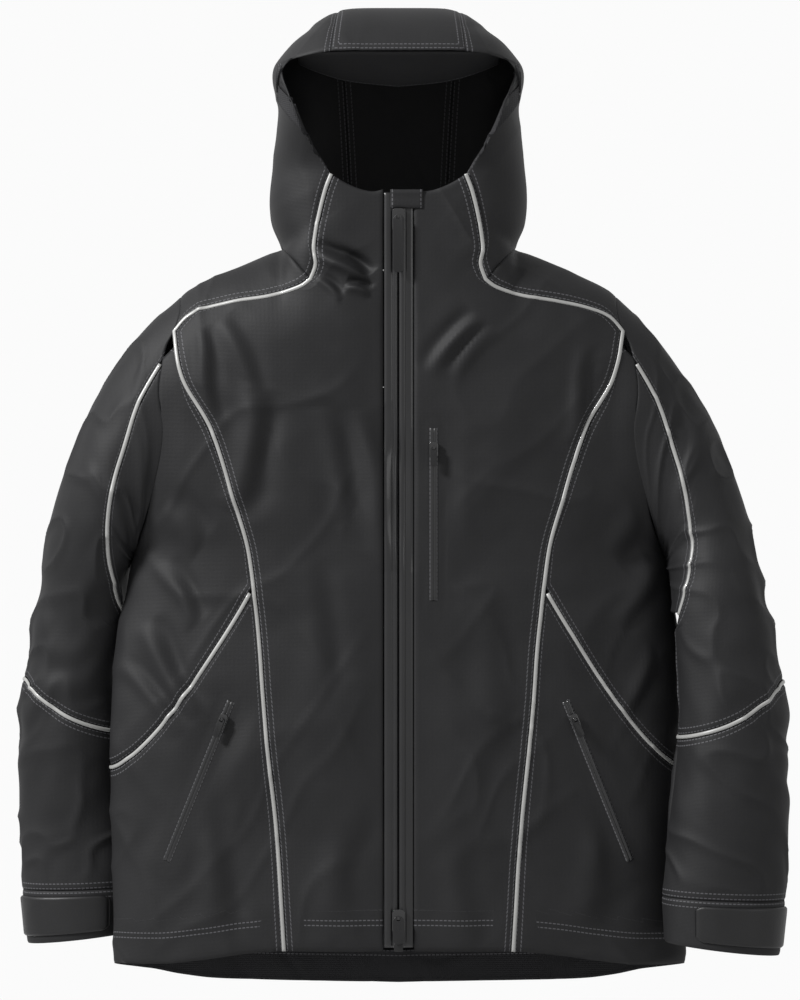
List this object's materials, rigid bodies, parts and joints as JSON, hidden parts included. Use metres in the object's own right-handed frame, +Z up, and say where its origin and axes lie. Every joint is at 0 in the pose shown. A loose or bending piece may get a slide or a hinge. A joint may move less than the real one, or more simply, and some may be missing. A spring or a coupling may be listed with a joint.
{
  "type": "hardshell jacket",
  "caption": "Hooded waterproof shell jacket with a two-way front zip, piped seams, zipped chest and hand pockets, curved sleeves with cuff tabs and a dropped back hem",
  "frame": {"origin": "middle of the hang loop, inside the back of the neck, where a hook carries the jacket", "axes": "+Z up towards the hood, the front faces -Y, +X is the wearer's left"},
  "size_m": [0.7728, 0.1994, 0.9786],
  "materials": {
    "shell": "matte laminated woven nylon, charcoal",
    "lining": "matte woven backing, dark grey",
    "piping": "light grey reflective piping",
    "tape": "coated water-resistant zip tape, satin",
    "slider": "black painted die-cast slider",
    "moulding": "black moulded plastic, satin",
    "webbing": "narrow woven tape, black"
  },
  "bodies": {
    "jacket": {"front_panel_left": "shell", "front_yoke_left": "shell", "side_upper_left": "shell", "side_lower_left": "shell", "front_panel_right": "shell", "front_yoke_right": "shell", "side_upper_right": "shell", "side_lower_right": "shell", "back_yoke": "shell", "back_panel": "shell", "hood_centre_panel": "shell", "hood_side_left": "shell", "hood_facing_left": "lining", "hood_side_right": "shell", "hood_facing_right": "lining", "hood_visor": "lining", "front_piping_left": "piping", "side_piping_left": "piping", "front_piping_right": "piping", "side_piping_right": "piping", "sleeve_upper_left": "shell", "sleeve_gusset_left": "shell", "sleeve_piping_left": "piping", "sleeve_upper_right": "shell", "sleeve_gusset_right": "shell", "sleeve_piping_right": "piping", "zip_tape_left": "tape", "zip_tape_right": "tape", "storm_flap": "lining", "zip_garage": "shell", "zip_box": "moulding", "chest_zip": "tape", "hand_left_zip": "tape", "hand_right_zip": "tape", "chest_pocket_bag": "lining", "hand_pocket_bag_left": "lining", "hand_pocket_bag_right": "lining", "hem_facing": "lining", "hang_loop": "webbing"},
    "top_slider": {"top_slider": "slider"},
    "top_pull": {"top_pull": "moulding"},
    "bottom_slider": {"bottom_slider": "slider"},
    "bottom_pull": {"bottom_pull": "moulding"},
    "chest_slider": {"chest_slider": "slider"},
    "chest_pull": {"chest_pull": "moulding"},
    "hand_left_slider": {"hand_left_slider": "slider"},
    "hand_left_pull": {"hand_left_pull": "moulding"},
    "hand_right_slider": {"hand_right_slider": "slider"},
    "hand_right_pull": {"hand_right_pull": "moulding"},
    "forearm_left": {"forearm_left": "shell", "cuff_left": "shell", "forearm_piping_left": "piping"},
    "cuff_tab_left": {"cuff_tab_left": "moulding"},
    "forearm_right": {"forearm_right": "shell", "cuff_right": "shell", "forearm_piping_right": "piping"},
    "cuff_tab_right": {"cuff_tab_right": "moulding"}
  },
  "joints": [
    {"name": "top_slider_travel", "type": "slide", "parent": "jacket", "child": "top_slider", "axis": [0, 0.0239, -0.9997], "range_m": [0, 0.4]},
    {"name": "top_pull_swing", "type": "hinge", "parent": "top_slider", "child": "top_pull", "pos_m": [0, -0.12757, 0.06081], "axis": [-1, 0, 0], "range_deg": [0, 120]},
    {"name": "bottom_slider_travel", "type": "slide", "parent": "jacket", "child": "bottom_slider", "axis": [0, -0.0239, 0.9997], "range_m": [0, 0.2]},
    {"name": "bottom_pull_swing", "type": "hinge", "parent": "bottom_slider", "child": "bottom_pull", "pos_m": [0, -0.1111, -0.62819], "axis": [-1, 0, 0], "range_deg": [0, 120]},
    {"name": "chest_slider_travel", "type": "slide", "parent": "jacket", "child": "chest_slider", "axis": [0, 0.0242, -0.9997], "range_m": [0, 0.128]},
    {"name": "chest_pull_swing", "type": "hinge", "parent": "chest_slider", "child": "chest_pull", "pos_m": [0.03458, -0.12266, -0.1654], "axis": [-0.9999, -0.0119, -0.0003], "range_deg": [0, 120]},
    {"name": "hand_left_slider_travel", "type": "slide", "parent": "jacket", "child": "hand_left_slider", "axis": [0.3736, 0.0976, -0.9224], "range_m": [0, 0.13]},
    {"name": "hand_left_pull_swing", "type": "hinge", "parent": "hand_left_slider", "child": "hand_left_pull", "pos_m": [0.17376, -0.10761, -0.43296], "axis": [-0.9041, -0.1839, -0.3856], "range_deg": [0, 120]},
    {"name": "hand_right_slider_travel", "type": "slide", "parent": "jacket", "child": "hand_right_slider", "axis": [-0.3736, 0.0976, -0.9224], "range_m": [0, 0.13]},
    {"name": "hand_right_pull_swing", "type": "hinge", "parent": "hand_right_slider", "child": "hand_right_pull", "pos_m": [-0.17376, -0.10761, -0.43296], "axis": [-0.9041, 0.1839, 0.3856], "range_deg": [0, 120]},
    {"name": "elbow_left", "type": "hinge", "parent": "jacket", "child": "forearm_left", "pos_m": [0.318, -0.0883, -0.419], "axis": [-0.6428, -0.766, 0], "range_deg": [0, 65], "deforming": ["forearm_left", "forearm_piping_left"]},
    {"name": "cuff_tab_left_open", "type": "hinge", "parent": "forearm_left", "child": "cuff_tab_left", "pos_m": [0.38081, -0.11021, -0.63534], "axis": [0, 0, 1], "range_deg": [0, 100]},
    {"name": "elbow_right", "type": "hinge", "parent": "jacket", "child": "forearm_right", "pos_m": [-0.318, 0.0117, -0.419], "axis": [-0.6428, 0.766, 0], "range_deg": [0, 65], "deforming": ["forearm_right", "forearm_piping_right"]},
    {"name": "cuff_tab_right_open", "type": "hinge", "parent": "forearm_right", "child": "cuff_tab_right", "pos_m": [-0.38081, -0.00017, -0.63534], "axis": [0, 0, -1], "range_deg": [0, 100]}
  ]
}
